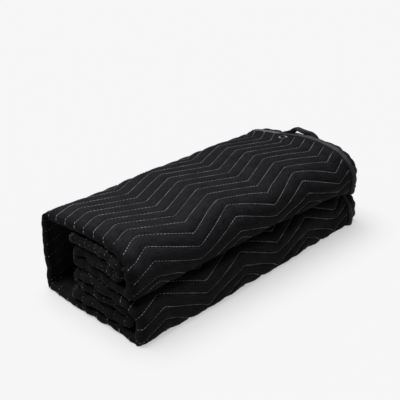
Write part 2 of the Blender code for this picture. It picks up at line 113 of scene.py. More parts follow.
def tableAt(table, place):
    # value of a table of (place, value) at a place
    found = table[0][1]
    for low, high in zip(table, table[1:]):
        if place > low[0]:
            found = mix(low[1], high[1], min((place - low[0]) / (high[0] - low[0]), 1.0))
    return found


def stationAt(x):
    along = min(max(x / length, 0.0), 1.0)
    for low, high in zip(stations, stations[1:]):
        if along <= high.along:
            t = (along - low.along) / (high.along - low.along)
            return Station(*(mix(a, b, t) for a, b in zip(low, high)))
    return stations[-1]


def passPitch(number, place, depth):
    # height that one pass takes up, with its air
    half = place.crease if number < 4 else place.height - place.crease
    atNose = (half + package["air"]) / 4
    atBack = (place.height + package["air"]) / 8
    return mix(atNose, atBack, smooth(depth / package["stackDepth"]))


def passLevel(number, place, depth):
    # middle height of a pass
    air = package["air"]
    half = place.crease if number < 4 else place.height - place.crease + air
    base = -air / 2 if number < 4 else place.crease - air / 2
    atNose = base + half * (number % 4 + 0.5) / 4
    atBack = -air / 2 + (place.height + air) * (number + 0.5) / 8
    return mix(atNose, atBack, smooth(depth / package["stackDepth"]))


class FoldLine:
    # The padded cloth's middle line across the package at one place along X, as lines and arcs

    def __init__(self, x):
        self.place = stationAt(x)
        corners = self.corners()
        self.parts = []
        self.length = 0.0
        self.face = 0.0             # the same, measured on the outer face
        start = corners[0]
        for before, corner, after in zip(corners, corners[1:], corners[2:]):
            arcFrom, arcTo, centre = self.roundOff(before, corner, after)
            self.addLine(start, arcFrom)
            self.addArc(arcFrom, arcTo, centre, corner[3])
            start = arcTo
        self.addLine(start, corners[-1])
        top = self.parts[topLine]
        share = (top["from"][0] - depthOfPackage / 2) / (top["from"][0] - top["to"][0])
        self.anchor = top["run"] + top["span"] * share
        self.faceAnchor = top["face"] + top["faceSpan"] * share
        self.floorEdge = self.parts[bottomLine]["face"] - self.faceAnchor

    def corners(self):
        place = self.place
        air = package["air"]
        wall = package["spineWall"]
        points = [self.onPass(package["stackDepth"] - 0.004, 1, None)]
        for fold in folds:
            first, second = fold.passes
            if fold.place == "spine":
                depth = depthOfPackage - wall / 2
            elif fold.place == "stack":
                depth = package["stackDepth"] - passPitch(first, place, package["stackDepth"]) / 2
            else:
                nose = place.lowerNose if "ower" in fold.place else place.upperNose
                wrap = passPitch(first, place, 0.0) - air
                depth = nose + wrap / 2
                if "nested" in fold.place:
                    depth = nose + wrap * 1.5 + air * 1.6
                if fold.place == "nestedUpper":
                    depth += 0.45 * max(place.upperRound - 0.028, 0.0)
            radii = fold.radii or (None, None)
            if fold.place == "upper":
                radii = (place.upperRound, radii[1])
            pair = [self.onPass(depth, first, radii[0]), self.onPass(depth, second, radii[1])]
            if fold.radii is None:
                radius = 0.49 * abs(pair[1][1] - pair[0][1])
                pair = [corner[:3] + (radius,) for corner in pair]
            if fold.place == "spine":
                pair[0] = (depth, wall / 2, wall, radii[0])
                pair[1] = (depth, place.height - wall / 2, wall, radii[1])
            points += pair
        points.append(self.onPass(package["stackDepth"] - 0.001, 6, None))
        return points

    def onPass(self, depth, number, radius):
        thickness = passPitch(number, self.place, depth) - package["air"]
        return (depth, passLevel(number, self.place, depth), thickness, radius)

    def roundOff(self, before, corner, after):
        here = Vector(corner[:2])
        back = (Vector(before[:2]) - here).normalized()
        ahead = (Vector(after[:2]) - here).normalized()
        half = back.angle(ahead) / 2
        reach = corner[3] / math.tan(half)
        centre = here + (back + ahead).normalized() * (corner[3] / math.sin(half))
        return (*(here + back * reach), corner[2]), (*(here + ahead * reach), corner[2]), centre

    def addLine(self, start, end):
        span = (Vector(end[:2]) - Vector(start[:2])).length
        self.append(dict(kind="line", span=span, faceSpan=span, to=end), start)

    def addArc(self, start, end, centre, radius):
        a = Vector(start[:2]) - centre
        b = Vector(end[:2]) - centre
        turn = math.atan2(a.x * b.y - a.y * b.x, a.dot(b))
        outside = radius + math.copysign(start[2] / 2, turn)
        part = dict(kind="arc", span=abs(turn) * radius, faceSpan=abs(turn) * outside,
                    to=end, centre=centre, turn=turn)
        self.append(part, start)

    def append(self, part, start):
        part.update({"from": start, "run": self.length, "face": self.face})
        self.parts.append(part)
        self.length += part["span"]
        self.face += part["faceSpan"]

    def runOnFace(self, reach):
        # path length at a distance along the outer face from the middle of the top pass
        face = self.faceAnchor + reach
        part = self.parts[-1]
        for candidate in self.parts:
            if face <= candidate["face"] + candidate["faceSpan"]:
                part = candidate
                break
        return part["run"] + part["span"] * (face - part["face"]) / part["faceSpan"]

    def at(self, run):
        # point, outward direction and thickness at a path length
        part = self.parts[-1]
        for candidate in self.parts:
            if run <= candidate["run"] + candidate["span"]:
                part = candidate
                break
        t = min(max((run - part["run"]) / part["span"], 0.0), 1.0)
        start, end = part["from"], part["to"]
        thickness = mix(start[2], end[2], t)
        if part["kind"] == "line":
            a, b = Vector(start[:2]), Vector(end[:2])
            along = (b - a).normalized()
            return a.lerp(b, t), Vector((along.y, -along.x)), thickness
        spoke = Vector(start[:2]) - part["centre"]
        spoke.rotate(Matrix.Rotation(part["turn"] * t, 2))
        outward = spoke.normalized() * math.copysign(1.0, part["turn"])
        return part["centre"] + spoke, outward, thickness


foldLines = {}


def foldLine(x):
    key = round(x, 6)
    if key not in foldLines:
        foldLines[key] = FoldLine(x)
    return foldLines[key]


# Long, low waves in the cloth: size, turns along X, depth and height, and phase
waves = {
    "height": ((0.0011, 29, 9, 0, 0.0),),
    "ends": ((0.0020, 0, 29, 33, 0.0), (0.0012, 0, 0, 61, 1.3)),
    "depth": ((0.0008, 13, 0, 25, 0.0), (0.0006, 31, 0, -40, 0.0)),
}


def waveAt(kind, x, depth, height):
    return sum(size * math.sin(a * x + b * depth + c * height + phase)
               for size, a, b, c, phase in waves[kind])


def settle(x, depth, height):
    # crown, skewed far edge and the cloth's gentle unevenness, the same for every piece
    across = 2 * depth / depthOfPackage - 1
    height *= 1 + package["crown"] * (1 - min(abs(across), 1.0) ** package["crownPower"])
    share = height / package["height"]
    slope = max(1 - depth / package["shoulderReach"], 0.0) ** 2
    height -= stationAt(x).shoulder * slope * share ** 2
    size = package["corner"]
    press = package["press"] * size * max(1 - depth / size, 0.0) * max(1 - height / size, 0.0)
    depth -= press
    height -= press
    # the top dips and swells in both directions
    height += 0.0016 * share * math.sin(11 * x + 2.1) * math.sin(17 * depth + 0.6)
    height += share * waveAt("height", x, depth, height)
    back = max(depth - package["skewFrom"], 0.0) / (depthOfPackage - package["skewFrom"])
    far = smooth((x - length + package["skewRun"]) / package["skewRun"])
    ends = abs(2 * x / length - 1) ** 3
    x += waveAt("ends", x, depth, height) * ends - package["farSkew"] * far * back ** 1.5
    near = smooth(1 - x / package["bulgeReach"]) * max(depth / depthOfPackage, 0.0) ** 2
    x -= package["endBulge"] * near * math.sin(math.pi * min(height / package["bulgeHeight"], 1.0))
    close = smooth(1 - x / package["nearReach"])
    x -= package["foot"] * close * max(1 - height / package["footHeight"], 0.0)
    x, height = creasedAt(x, depth, height, close, share)
    depth += waveAt("depth", x, depth, height)
    if height < package["onFloor"]:
        height = 0.0
    return Vector((x - length / 2, depth - depthOfPackage / 2, height)) + shift


def creasedAt(x, depth, height, close, share):
    # small creases at the near end, deeper in the folded-in passes than round them
    inside = smooth(depth / 0.02) * smooth((0.20 - depth) / 0.02) * smooth((0.135 - height) / 0.02)
    crumple = package["crumple"] * close * (1 + 1.3 * inside)
    x += crumple * noise.noise(Vector((depth * 48, height * 62, 3.1)))
    raised = 0.7 * crumple * min(share * 3, 1.0)
    return x, height + raised * noise.noise(Vector((depth * 70, height * 40, 8.4)))


# Quilting: rows of stitches that run along X in a zigzag
quilting = {
    "rowSpacing": 0.0402 * length,
    "period": 0.3156 * length,
    "reach": 0.0643 * length,
    "noseReach": 0.0510 * length,       # the zigzag is flatter where the cloth is bent over a nose
    "firstCorner": 0.0856 * length,     # a corner that points to the back
    "origin": 0.0390 * length,          # the front-most row on the top pass, from the front
    "rowsToFront": 6,                   # from the middle of the top pass
    "linesPerRow": 8,
    "hiddenRows": 15,                   # at each end of the cloth, in the folded-in passes
    "hiddenLines": 60,
    "puff": 0.0026,                     # how far the padding stands up between two rows
    "turnPuff": 0.00156,
    "hiddenPuff": 0.0007,
    "fullness": 0.6,                    # the smaller, the steeper the padding falls to the stitches
    "rows": (-23, 19),                  # counted on the outer face
    "lowerRow": -18,                    # the first row over the floor on the lower nose
    "lowerOrigin": 0.0187,              # its distance up the nose from where that leaves the floor
    "lowerSpacing": 0.0233,
    "spineRow": -9,                     # the first row on the spine
    "upperNose": (3.5, 7.0),            # rows between which the cloth bends over the upper nose
}


def zigzag(x, number):
    # how far a row lies from its mean line
    phase = ((x - quilting["firstCorner"]) / quilting["period"]) % 1.0
    first, last = quilting["upperNose"]
    nose = max(smooth((number - first) / (last - first)), smooth((quilting["spineRow"] - number) / 6))
    return mix(quilting["reach"], quilting["noseReach"], nose) * (0.5 - abs(2 * phase - 1))


def rowOnFace(cut, number):
    # how far along the outer face a row lies from the middle of the top pass
    spacing = quilting["rowSpacing"]
    front = depthOfPackage / 2 - quilting["origin"] - quilting["reach"] / 2
    offset = front - quilting["rowsToFront"] * spacing
    spineRow, lowerRow = quilting["spineRow"], quilting["lowerRow"]
    if number >= spineRow:
        return offset + number * spacing

    def onNose(row):
        return cut.floorEdge - quilting["lowerOrigin"] - (lowerRow - row) * quilting["lowerSpacing"]
    if number <= lowerRow + 1:
        return onNose(number)
    share = (spineRow - number) / (spineRow - lowerRow - 1)
    return mix(offset + spineRow * spacing, onNose(lowerRow + 1), share)


Line = namedtuple("Line", "runOf number zone")


def makeLines():
    # lines along X in the order of the cloth's path; a whole number is a row of stitches
    firstRow, lastRow = quilting["rows"]
    steps = quilting["linesPerRow"]

    def onFace(number):
        return lambda cut: cut.runOnFace(rowOnFace(cut, number))

    outer = [Line(onFace(n / steps), n / steps, "outer")
             for n in range(firstRow * steps, lastRow * steps + 1)]

    def hidden(start, end, fromRow, toRow):
        found = []
        for step in range(quilting["hiddenLines"]):
            t = step / quilting["hiddenLines"]
            found.append(Line(lambda cut, t=t: mix(start(cut), end(cut), t),
                              mix(fromRow, toRow, t), "stack"))
        return found

    more = quilting["hiddenRows"]
    before = hidden(lambda cut: 0.0, onFace(firstRow), firstRow - more, firstRow)
    after = hidden(onFace(lastRow), lambda cut: cut.length, lastRow, lastRow + more)
    after.append(Line(lambda cut: cut.length, lastRow + more, "stack"))
    return before + outer + after[1:]


# One pass cut along X: the four plies of the double fold, as a path from the bound edge
plies = {
    "levels": {"outer": 0.375, "inner": -0.375, "core": 0.125, "coreLow": -0.125},
    "endRoundOuter": 0.0067,
    "endRoundInner": 0.0055,
    "tipLevel": -0.045,
    "tip": 0.0020,
    "coreTip": 0.0068,
    "coreRound": 0.0060,
    "farTurn": 0.0050,
    "farRound": 0.0020,
    "coreShort": 0.004,             # the core's edge lies this far inside the far end
    "air": 0.0005,
    "nominal": 0.0160,              # thickness that turns levels into metres for directions
}
Stop = namedtuple("Stop", "along x level normalX normalOut ply")


def plyPath(counts):
    # stops along the middle of the ply, from the outer ply's bound edge to the core's edge
    levels = plies["levels"]
    quarter = math.pi / 2

    def straight(a, b, level):
        return lambda t: (mix(a, b, t), level)

    def outerTurn(t):
        angle = math.pi * t
        tip, mid = plies["tip"], plies["tipLevel"]
        reach = plies["endRoundOuter"] if angle < quarter else plies["endRoundInner"]
        swing = levels["outer"] - mid if angle < quarter else mid - levels["inner"]
        return tip + (reach - tip) * (1 - math.sin(angle)), mid + swing * math.cos(angle)

    farStart = length - plies["farTurn"]
    coreStart = plies["coreTip"] + plies["coreRound"]

    def farTurn(t):
        mid, swing = (levels["inner"] + levels["coreLow"]) / 2, (levels["inner"] - levels["coreLow"]) / 2
        return farStart + plies["farRound"] * math.sin(math.pi * t), mid + swing * math.cos(math.pi * t)

    def coreTurn(t):
        angle = math.pi * t
        return coreStart - plies["coreRound"] * math.sin(angle), levels["coreLow"] * math.cos(angle)

    pieces = (
        ("outer", straight(boundEdge, plies["endRoundOuter"], levels["outer"])),
        ("turn", outerTurn),
        ("inner", straight(plies["endRoundInner"], farStart, levels["inner"])),
        ("farTurn", farTurn),
        ("coreLow", straight(farStart, coreStart, levels["coreLow"])),
        ("coreTurn", coreTurn),
        ("core", straight(coreStart, length - plies["coreShort"], levels["core"])),
    )
    points = []
    for (name, place), count in zip(pieces, counts):
        points += [(*place(i / count), name) for i in range(count)]
    points.append((*pieces[-1][1](1.0), "core"))
    stops = []
    along = 0.0
    scale = plies["nominal"]
    for i, (x, level, name) in enumerate(points):
        back = points[max(i - 1, 0)]
        ahead = points[min(i + 1, len(points) - 1)]
        step = Vector((ahead[0] - back[0], (ahead[1] - back[1]) * scale)).normalized()
        if i:
            along += math.hypot(x - back[0], (level - back[1]) * scale)
        stops.append(Stop(along, x, level, step.y, -step.x, name))
    return stops


# The far edge, where the outer ply ends first
farEdge = {
    "lift": 0.0042,                 # its edge stands off the plies under it
    "liftRun": 0.024,
    "liftFades": (0.125, 0.165),    # depths between which it lies down again
    "swell": 0.0036,                # the plies beyond it swell out between two rows of stitches
    "reach": 0.0118,                # and stand out on the noses, unevenly
    "reachDepth": 0.125,
    "reachFade": 0.050,
    "ragged": 0.0060,
    # painted highlight: how pale the tape is drawn where its ridge catches the light, at depths from the
    # front
    "paintedShine": ((0.0, 0.20), (0.03, 0.35), (0.11, 0.35), (0.13, 0.20), (0.145, 0.05), (0.175, 0.05),
             (0.183, 1.0), (0.235, 1.0), (0.25, 0.0)),
    # how far the plies beyond it curl up on top, at depths from the front
    "curl": ((0.120, 0.0), (0.135, 0.0060), (0.160, 0.0060), (0.169, 0.0008), (0.180, 0.0008),
             (0.190, 0.0050), (0.228, 0.0050), (0.242, 0.0)),
}


def offFloor(outward):
    # 0 on the underside of the package, 1 on its sides and top
    return smooth((outward.y + 0.95) / 0.5)


def edgeLift(stop, line, depth, outward):
    # how far the outer ply stands off near its bound edge
    if stop.ply != "outer" or line.zone != "outer":
        return 0.0
    flat, lying = farEdge["liftFades"]
    lift = farEdge["lift"] * smooth((stop.x - boundEdge) / farEdge["liftRun"] + 1)
    lift *= (1 - smooth((depth - flat) / (lying - flat))) * offFloor(outward)
    if line.number < quilting["spineRow"]:
        lift *= smooth(1 - outward.y / 0.7)
    return lift


def paintedShineAt(line, depth, outward):
    # painted highlight: how pale the tape is drawn at a place round the package
    if line.zone != "outer":
        return 0.0
    return tableAt(farEdge["paintedShine"], depth) * offFloor(outward)


def clothPoint(stop, line, off, shear=1.0, lift=0.0):
    # a point off the middle of the ply, by a share of the ply's thickness and a lift in metres
    cut = foldLine(stop.x)
    unfolded = boundEdge - stop.along
    first, last = lines[0].number, lines[-1].number
    shear *= smooth((line.number - first) / 4) * smooth((last - line.number) / 4)
    point, outward, thickness = cut.at(line.runOf(cut) + shear * zigzag(unfolded, line.number))
    reach = off * thickness / 4 + lift
    height = thickness * stop.level + reach * stop.normalOut + edgeLift(stop, line, point.x, outward)
    setIn = 0.0
    if outward.y > 0.7 and point.y > 0.8 * cut.place.height:
        setIn = package["topSetIn"] * smooth(1 - stop.x / package["topSetInReach"])
    x = stop.x + reach * stop.normalX + setIn
    if stop.ply != "outer":
        beyond = smooth((stop.x - boundEdge) / package["ledge"])
        front = smooth((farEdge["reachDepth"] - point.x) / farEdge["reachFade"])
        uneven = farEdge["ragged"] * noise.noise(Vector((line.number * 0.9, 2.7, 0.0)))
        swell = farEdge["swell"] * (abs(math.sin(math.pi * line.number)) - 0.5)
        x += beyond * (swell + front * (farEdge["reach"] + uneven))
        if line.zone == "outer" and outward.y > 0.5:
            height += tableAt(farEdge["curl"], point.x) * beyond * smooth((outward.y - 0.5) / 0.3)
    point = point + outward * height
    return settle(x, point.x, point.y), outward, cut


def facePoint(stop, line, lift=0.0):
    # a point on the quilted face of the cloth
    _, outward, cut = clothPoint(stop, line, 0.5)
    return clothPoint(stop, line, 0.5, lift=lift + puffAt(stop, line, outward))[0]


def puffAt(stop, line, outward):
    # how far the padding stands up at a place on the visible side of the cloth
    if "core" in stop.ply or stop.ply == "farTurn":
        return -plies["air"]
    phase = line.number % 1.0
    swell = abs(math.sin(math.pi * phase)) ** quilting["fullness"]
    row = math.floor(line.number)
    high = quilting["puff"]
    if line.zone == "stack" or stop.ply != "outer":
        high = quilting["hiddenPuff"]
    if stop.ply == "turn":
        high = quilting["turnPuff"]
    if outward.y < -0.9:
        high = 0.0
    high *= 1 - 0.6 * smooth((outward.x - 0.3) / 0.5)
    high *= 1 + 0.25 * noise.noise(Vector((stop.along * 9, row * 1.7, 0.4)))
    if stop.ply == "outer":
        high *= smooth((boundEdge - stop.x) / 0.03) * 0.7 + 0.3
    return high * swell


# The frame's origin from the package's own middle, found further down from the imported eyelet
shift = Vector((0.0, 0.0, 0.0))
lines = makeLines()

# Places along X: close together on the visible side, at corners and bends elsewhere
columns = {
    "visible": (86, 9, 34, 4, 5, 4, 5),
    "backing": (5, 5, 5, 3, 5, 3, 6),
    "sideTape": (12, 8, 12, 5, 12, 5, 12),
    "seams": (100, 12, 40, 3, 2, 3, 2),
}


def blanketSheet():
    # the whole blanket as one closed sheet: every ply of every pass
    mesh = bmesh.new()
    sewing = mesh.loops.layers.uv.new("sewing")
    front = plyPath(columns["visible"])
    back = plyPath(columns["backing"])
    grid = []
    for line in lines:
        ring = []
        for stop in front:
            ring.append(mesh.verts.new(facePoint(stop, line)))
        for stop in reversed(back):
            point, _, _ = clothPoint(stop, line, -0.5, shear=0.0, lift=plies["air"])
            ring.append(mesh.verts.new(point))
        grid.append(ring)
    count = len(grid[0])
    alongs = [stop.along for stop in front] + [stop.along for stop in reversed(back)]
    for lower, upper, lineA, lineB in zip(grid, grid[1:], lines, lines[1:]):
        for i in range(count):
            j = (i + 1) % count
            face = mesh.faces.new((lower[i], lower[j], upper[j], upper[i]))
            face.smooth = True
            face.material_index = int(i >= len(front))
            spots = ((alongs[i], lineA.number), (alongs[j], lineA.number),
                     (alongs[j], lineB.number), (alongs[i], lineB.number))
            for corner, spot in zip(face.loops, spots):
                corner[sewing].uv = (spot[0], spot[1] * quilting["rowSpacing"])
    mesh.faces.new(list(reversed(grid[0])))
    mesh.faces.new(grid[-1])
    bmesh.ops.recalc_face_normals(mesh, faces=mesh.faces)
    return toObject("blanketSheet", mesh)


def punchHole(sheet):
    # the eyelet's hole, through the outer ply only
    centre, along, upright = eyeletFrame()
    mesh = bmesh.new()
    radius, reach = eyelet["barrel"] + 0.0002, eyelet["cut"]
    bmesh.ops.create_cone(mesh, cap_ends=True, segments=eyelet["sides"], radius1=radius, radius2=radius,
                          depth=reach[0] - reach[1])
    across = upright.cross(along)
    turned = Matrix((along, across, upright)).transposed().to_4x4()
    middle = centre + upright * sum(reach) / 2
    bmesh.ops.transform(mesh, matrix=Matrix.Translation(middle) @ turned, verts=mesh.verts)
    cutter = toObject("eyelet cutter", mesh)
    modifier = sheet.modifiers.new("hole", "BOOLEAN")
    modifier.object = cutter
    modifier.solver = "MANIFOLD"
    bpy.context.view_layer.update()
    ready = sheet.evaluated_get(bpy.context.evaluated_depsgraph_get())
    punched = bpy.data.meshes.new_from_object(ready)
    sheet.modifiers.clear()
    sheet.data = punched
    bpy.data.objects.remove(cutter)


def toObject(name, mesh):
    data = bpy.data.meshes.new(name)
    mesh.to_mesh(data)
    mesh.free()
    piece = bpy.data.objects.new(name, data)
    bpy.context.scene.collection.objects.link(piece)
    return piece


# The tape that binds the cloth's edges: it is folded over them
tape = {
    "cover": 0.0120,
    "coreCover": 0.0095,
    "thickness": 0.0008,
    "underside": 0.0006,
    "rounding": 0.0014,
    "roll": 0.0016,                 # it is fuller than the cloth under it
    "turnOver": 0.0045,             # what it takes to go round the edge
}


def tapeProfile(cover):
    # the folded tape as (distance in from the edge, share of the ply, lift), once round
    over, under, bend = tape["thickness"], tape["underside"], tape["rounding"]
    roll = tape["roll"] * cover / tape["cover"]
    gap = plies["air"]
    return (
        (cover, 0.5, over * 0.9, 1), (cover * 0.6, 0.5, over + roll, 1),
        (cover * 0.2, 0.5, over + roll * 0.7, 1),
        (-bend * 0.9, 0.32, 0.0, 0), (-bend * 1.4, 0.0, 0.0, 0), (-bend * 0.9, -0.30, 0.0, 0),
        (cover * 0.15, -0.5, gap - under, 0), (cover, -0.5, gap - under, 0),
        (cover, -0.5, gap - 0.0001, 0), (cover * 0.15, -0.5, gap - 0.0001, 0),
        (-bend * 0.3, -0.2, 0.0, 0), (-bend * 0.5, 0.0, 0.0, 0), (-bend * 0.3, 0.2, 0.0, 0),
        (cover * 0.15, 0.5, 0.0001, 1), (cover, 0.5, 0.0001, 1),
    )


def ringsToObject(name, rings, material, paintedHighlight=None):
    # joins rings of points into one closed, smooth body, with a share of painted highlight for each ring
    mesh = bmesh.new()
    uv = mesh.loops.layers.uv.new("tape")
    paintedShine = mesh.verts.layers.float.new("paintedHighlight")
    grid = [[mesh.verts.new(point) for point in ring] for ring in rings]
    for ring, share in zip(grid, paintedHighlight or [0.0] * len(grid)):
        for corner in ring:
            corner[paintedShine] = share
    count = len(grid[0])
    reach = 0.0
    for lower, upper in zip(grid, grid[1:]):
        step = (upper[0].co - lower[0].co).length
        for i in range(count):
            j = (i + 1) % count
            face = mesh.faces.new((lower[i], lower[j], upper[j], upper[i]))
            face.smooth = True
            across = (i / count, (i + 1) / count)
            for corner, spot in zip(face.loops, ((across[0], reach), (across[1], reach),
                                                 (across[1], reach + step), (across[0], reach + step))):
                corner[uv].uv = spot
        reach += step
    mesh.faces.new(list(reversed(grid[0])))
    mesh.faces.new(grid[-1])
    bmesh.ops.recalc_face_normals(mesh, faces=mesh.faces)
    piece = toObject(name, mesh)
    piece.data.materials.append(material)
    return piece


def endBinding(name, ply, edge, along, direction, cover):
    # tape along an edge that crosses the package, round every pass
    rings, paintedHighlight = [], []
    for line in lines:
        point, outward, _ = foldLine(edge).at(line.runOf(foldLine(edge)))
        # the outer tape gets a painted highlight, pale where its ridge catches the light
        paintedHighlight.append(paintedShineAt(line, point.x, outward) if ply == "outer" else 0.0)
        ring = []
        for inset, off, lift, onFace in tapeProfile(cover):
            x = edge - inset
            stop = Stop(along + direction * inset, x, plies["levels"][ply], 0.0, direction, ply)
            if onFace:
                ring.append(facePoint(stop, line, lift))
            else:
                ring.append(clothPoint(stop, line, off, lift=lift)[0])
        rings.append(ring)
    return ringsToObject(name, rings, tapeMaterial, paintedHighlight)


def sideBinding(name, atStart):
    # tape along the free end of the fold, round the four plies
    rings = []
    number = lines[0].number if atStart else lines[-1].number
    for stop in plyPath(columns["sideTape"]):
        ring = []
        for inset, off, lift, onFace in tapeProfile(tape["coreCover"]):
            def runOf(cut, inset=inset):
                return inset + 0.0002 if atStart else cut.length - inset - 0.0002
            line = Line(runOf, number, "stack")
            core = "core" in stop.ply or stop.ply == "farTurn"
            ring.append(clothPoint(stop, line, off, lift=lift - plies["air"] * (onFace and core))[0])
        rings.append(ring)
    return ringsToObject(name, rings, tapeMaterial)


# The eyelet and the webbing loop
eyelet = {
    "fromEdge": 0.029,
    "depth": 0.159,
    "hole": 0.0052,
    "barrel": 0.0064,
    "rim": 0.0098,
    "rise": 0.0018,
    "barrelLength": 0.0058,
    "seat": 0.0014,                 # it sits on the padding, this far over the bare ply
    "bite": 0.0003,                 # how far the rim sinks into the cloth
    "rollSteps": 10,
    "cut": (0.0050, -0.0047),       # the hole's reach over and under the cloth's face
    "sides": 48,
    "paintedGlint": -46,                  # direction of the two sides painted bright as a painted highlight, across the camera's view, in degrees
}


def onTop(x, depth, rise):
    # a point over the outer face of the top pass, at a place along X and a depth
    cut = foldLine(x)
    point, outward, thickness = cut.at(cut.anchor + depthOfPackage / 2 - depth)
    point = point + outward * (thickness / 2 + rise)
    return settle(x, point.x, point.y)


def eyeletFrame():
    x = boundEdge - eyelet["fromEdge"]
    depth, step = eyelet["depth"], eyelet["rim"]
    centre = onTop(x, depth, 0.0)
    along = onTop(x + step, depth, 0.0) - onTop(x - step, depth, 0.0)
    across = onTop(x, depth + step, 0.0) - onTop(x, depth - step, 0.0)
    return centre, along.normalized(), along.cross(across).normalized()


def eyeletRing():
    # a rolled rim on a short barrel, turned about the eyelet's own axis
    centre, along, upright = eyeletFrame()
    centre = centre + upright * eyelet["seat"]
    across = upright.cross(along)
    hole, rim, rise, low, bite = (eyelet[key] for key in ("hole", "rim", "rise", "barrelLength", "bite"))
    mid, half = (hole + rim) / 2, (rim - hole) / 2
    angles = [math.pi * k / eyelet["rollSteps"] for k in range(eyelet["rollSteps"] + 1)]
    profile = [(hole, -low)]
    profile += [(mid - half * math.cos(angle), rise * math.sin(angle) ** 0.8) for angle in angles]
    profile += [(rim - 0.0004, -bite), (eyelet["barrel"], -bite), (eyelet["barrel"], -low)]
    mesh = bmesh.new()
    # painted highlight: how bright each part of the ring is painted, most at the two sides that the camera
    # sees left and right
    paintedGlint = mesh.verts.layers.float.new("paintedGlint")
    rings = []
    for k in range(eyelet["sides"]):
        turn = 2 * math.pi * k / eyelet["sides"]
        spoke = along * math.cos(turn) + across * math.sin(turn)
        rings.append([mesh.verts.new(centre + spoke * r + upright * h) for r, h in profile])
        for vert in rings[-1]:
            vert[paintedGlint] = math.cos(turn - math.radians(eyelet["paintedGlint"])) ** 8
    for lower, upper in zip(rings, rings[1:] + rings[:1]):
        for i in range(len(profile)):
            j = (i + 1) % len(profile)
            mesh.faces.new((lower[i], lower[j], upper[j], upper[i])).smooth = True
    bmesh.ops.recalc_face_normals(mesh, faces=mesh.faces)
    return toObject("eyeletRing", mesh)


loop = {
    "width": 0.011,
    "flatLength": 0.111,
    "thickness": 0.0021,
    "clear": 0.0006,                # from the bound edge
    "seat": 0.0029,                 # it lies this far under the top pass's face where it is sewn on
    # its section, in half widths and thicknesses
    "section": ((-1, 0.25), (-0.86, 0), (0, -0.04), (0.86, 0), (1, 0.25), (1, 0.75),
                (0.86, 1), (0, 1.08), (-0.86, 1), (-1, 0.75)),
    # depth from the front, height over its seat, turn of the strap towards the near end in degrees
    "points": (
        (0.184, 0.0006, 0), (0.178, 0.0006, 30), (0.172, 0.0012, 70), (0.1655, 0.0037, 84),
        (0.161, 0.0060, 85), (0.157, 0.0092, 85), (0.153, 0.0118, 84), (0.149, 0.0134, 60),
        (0.145, 0.0144, 34), (0.134, 0.0120, 45), (0.122, 0.0104, 60), (0.113, 0.0098, 60),
        (0.105, 0.0064, 40), (0.099, 0.0024, 15), (0.094, 0.0, 0), (0.086, 0.0, 0),
    ),
    "steps": 6,
}


def smoothPoints(points, steps):
    # Catmull-Rom points between the given ones
    found = []
    for i in range(len(points) - 1):
        a, b = points[max(i - 1, 0)], points[i]
        c, d = points[i + 1], points[min(i + 2, len(points) - 1)]
        for step in range(steps):
            t = step / steps
            found.append(tuple(
                0.5 * (2 * q + (r - p) * t + (2 * p - 5 * q + 4 * r - s) * t * t
                       + (3 * q - p - 3 * r + s) * t ** 3) for p, q, r, s in zip(a, b, c, d)))
    found.append(points[-1])
    return found


def hangingLoop():
    # webbing that stands up at the bound edge, swept along its points
    points = smoothPoints(loop["points"], loop["steps"])
    width, thick = loop["width"], loop["thickness"]
    x = boundEdge + loop["clear"] + width / 2
    rings = []
    for i, (depth, rise, lean) in enumerate(points):
        before, after = points[max(i - 1, 0)], points[min(i + 1, len(points) - 1)]
        along = Vector((0.0, after[0] - before[0], max(after[1], 0) - max(before[1], 0))).normalized()
        middle = onTop(x, depth, max(rise, 0.0) - loop["seat"])
        turn = math.radians(lean)
        side = Vector((math.cos(turn), 0.0, math.sin(turn)))
        side = (side - along * side.dot(along)).normalized()
        up = side.cross(along).normalized()
        if up.z < 0:
            up = -up
        rings.append([middle + side * across * width / 2 + up * high * thick
                      for across, high in loop["section"]])
    return ringsToObject("webbingLoop", rings, tapeMaterial)


# Stitches: one short thread after another along each row
stitching = {
    # stitch, gap, thread, and the least share of its size that a stitch can have
    "outside": (0.0060, 0.0004, 0.0012, 0.85),
    "foldedIn": (0.0044, 0.0026, 0.0008, 0.40),
    "sunk": 0.0004,
    "clear": 0.0025,                # nothing of a row shows where it is nearer to the floor than this
    "endRun": 0.030,                # rows in the folded-in passes show only at the near end
    "hollowFrom": 0.138,            # depth from which a row lies in the hollow
    "farEnd": 0.8 * length,         # the lowest row goes under the package here
    "round": 6,                     # points of a row that can be seen round the near end
    "roundNose": 2,                 # and over the upper nose, where the thread sinks in at the turn
    "noseRow": 5,                   # the first row there
    "seed": 7,
}


def rowRuns(line, outer, turn, inner):
    # what can be seen of one row: its stops on the package's outside, and those that are folded in
    middle = foldLine(length / 2)
    point, _, _ = middle.at(line.runOf(middle))
    if line.zone == "stack" or point.x <= stitching["hollowFrom"]:
        inner = [stop for stop in inner if stop.x < stitching["endRun"]]
    if line.zone == "stack":
        return [], [stop for stop in outer if stop.x < stitching["endRun"]] + turn + inner
    if line.number == quilting["rows"][0] + 1:
        outer = [stop for stop in outer if stop.x < stitching["farEnd"]]
    if line.number >= stitching["noseRow"]:
        return outer + turn[:stitching["roundNose"]], inner
    return outer + turn[:stitching["round"]], turn[stitching["round"]:] + inner


def pathsOver(stops, line):
    # the points of a row on the cloth's face, in one path for each stretch that is clear of the floor
    paths = [[]]
    for stop in stops:
        point = facePoint(stop, line, stitching["sunk"])
        if point.z > stitching["clear"]:
            paths[-1].append(point)
        else:
            paths.append([])
    return [path for path in paths if len(path) > 1]


def seamPaths():
    # every row of stitches that can be seen, on the package's outside and folded in
    stops = plyPath(columns["seams"])
    outer, turn, inner = ([stop for stop in stops if stop.ply == ply] for ply in ("outer", "turn", "inner"))
    outer = [stop for stop in outer if stop.x < boundEdge - tape["cover"] - 0.001]
    shown, foldedIn = [], []
    for line in lines:
        if line.number % 1.0 or line.zone == "outer" and line.number == quilting["rows"][0]:
            continue
        outside, inside = rowRuns(line, outer, turn, inner)
        shown += pathsOver(outside, line)
        foldedIn += pathsOver(inside, line)
    return shown, foldedIn


